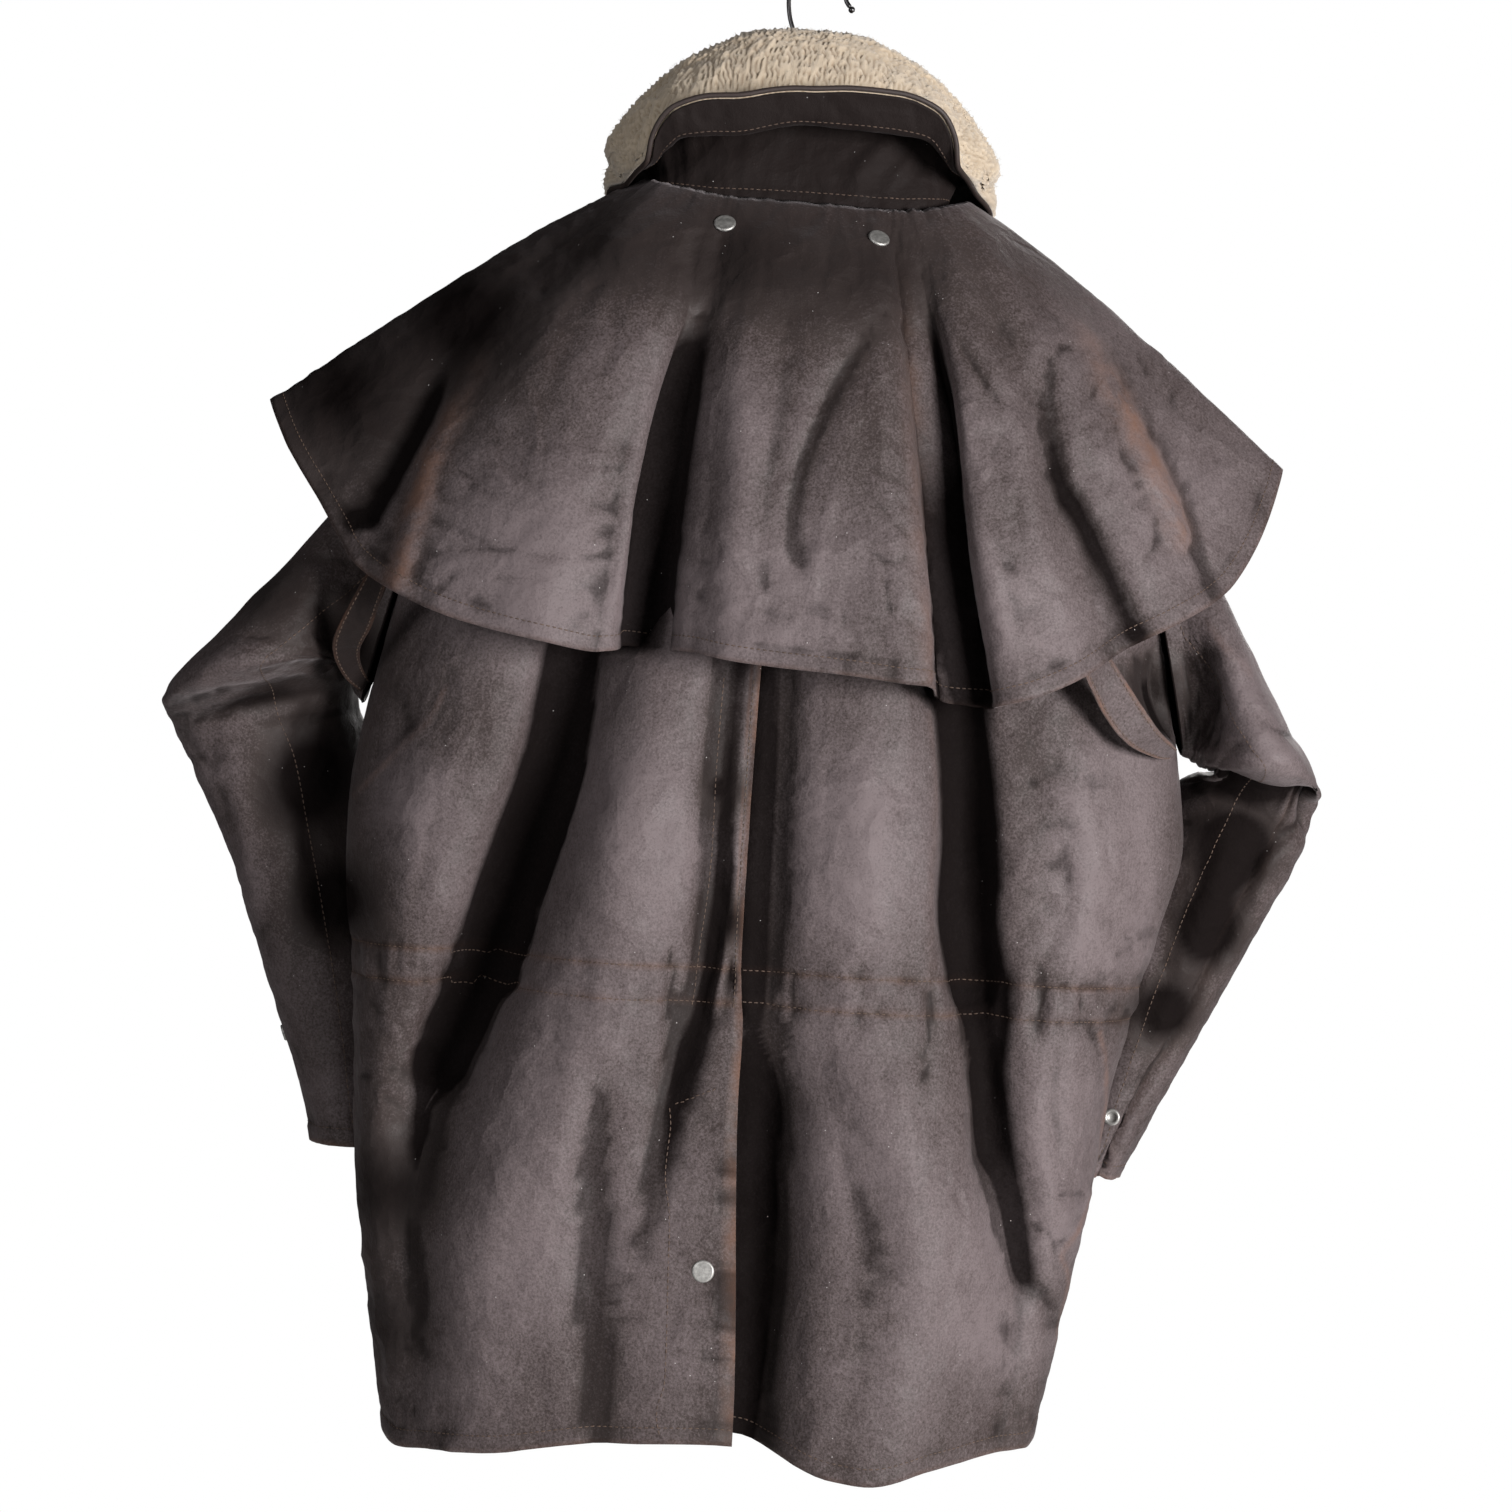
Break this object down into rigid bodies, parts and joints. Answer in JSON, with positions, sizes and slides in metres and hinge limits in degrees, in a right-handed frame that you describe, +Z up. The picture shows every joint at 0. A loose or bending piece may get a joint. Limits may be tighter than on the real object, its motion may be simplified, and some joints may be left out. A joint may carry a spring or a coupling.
{
  "type": "duster coat on a hanger",
  "caption": "Short waxed cotton duster coat with a shoulder cape, bent sleeves, a vented back and a raised fleece-lined collar, hung on a plain hanger.",
  "frame": {"origin": "the inside top of the hanger's hook, where it rests on a rail", "axes": "+Z up along the hook's stem, the coat's back faces -Y and its front +Y, +X towards the wearer's right"},
  "size_m": [0.8133, 0.3189, 1.0452],
  "materials": {
    "waxed_cotton": "very dark brown waxed cotton, matte with a low sheen, rusty wear along folds and edges",
    "fleece": "short curly cream fleece pile",
    "piping": "dark bias-cut cotton over a cord",
    "snap_metal": "antique silver, worn on the dome",
    "bar_wood": "plain satin varnish",
    "hook_wire": "dull dark wire"
  },
  "bodies": {
    "root": {"back_left": "waxed_cotton", "back_right": "waxed_cotton", "front_left": "waxed_cotton", "front_right": "waxed_cotton", "sleeve_left": "waxed_cotton", "sleeve_right": "waxed_cotton", "cape": "waxed_cotton", "collar_stand": "waxed_cotton", "collar_fall": "waxed_cotton", "collar_piping": "piping", "collar_fleece": "fleece", "strap_left": "waxed_cotton", "strap_right": "waxed_cotton", "snap_cape_left": "snap_metal", "snap_cape_right": "snap_metal", "snap_vent": "snap_metal", "snap_cuff_left": "snap_metal", "snap_cuff_right": "snap_metal", "snap_front_1": "snap_metal", "snap_front_2": "snap_metal", "snap_front_3": "snap_metal", "snap_front_4": "snap_metal", "hanger_bar": "bar_wood", "hanger_hook": "hook_wire"}
  },
  "joints": []
}
